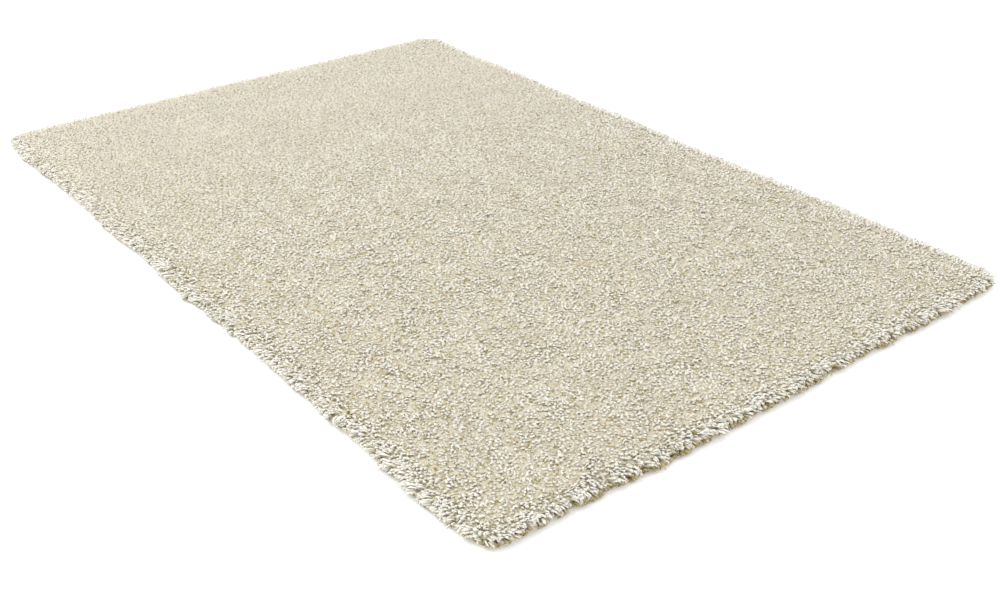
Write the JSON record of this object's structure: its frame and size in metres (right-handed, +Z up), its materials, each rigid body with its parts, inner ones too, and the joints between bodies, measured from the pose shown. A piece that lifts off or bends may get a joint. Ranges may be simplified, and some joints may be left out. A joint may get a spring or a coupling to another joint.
{
  "type": "shag rug",
  "caption": "Rectangular cream shag rug lying flat, with a deep cut pile, a flat woven underside and soft rounded edges.",
  "frame": {"origin": "centre of the rug's box on the floor, under the woven cloth", "axes": "+X along the long sides, +Y along the short sides, +Z up out of the pile"},
  "size_m": [2.4416, 1.646, 0.035],
  "materials": {
    "pile": "deep cut pile of matt cream yarn, darker between the tufts",
    "backing": "plain woven ground cloth in undyed jute and cotton, seen only from below"
  },
  "bodies": {
    "root": {"rug": "pile"}
  },
  "joints": []
}
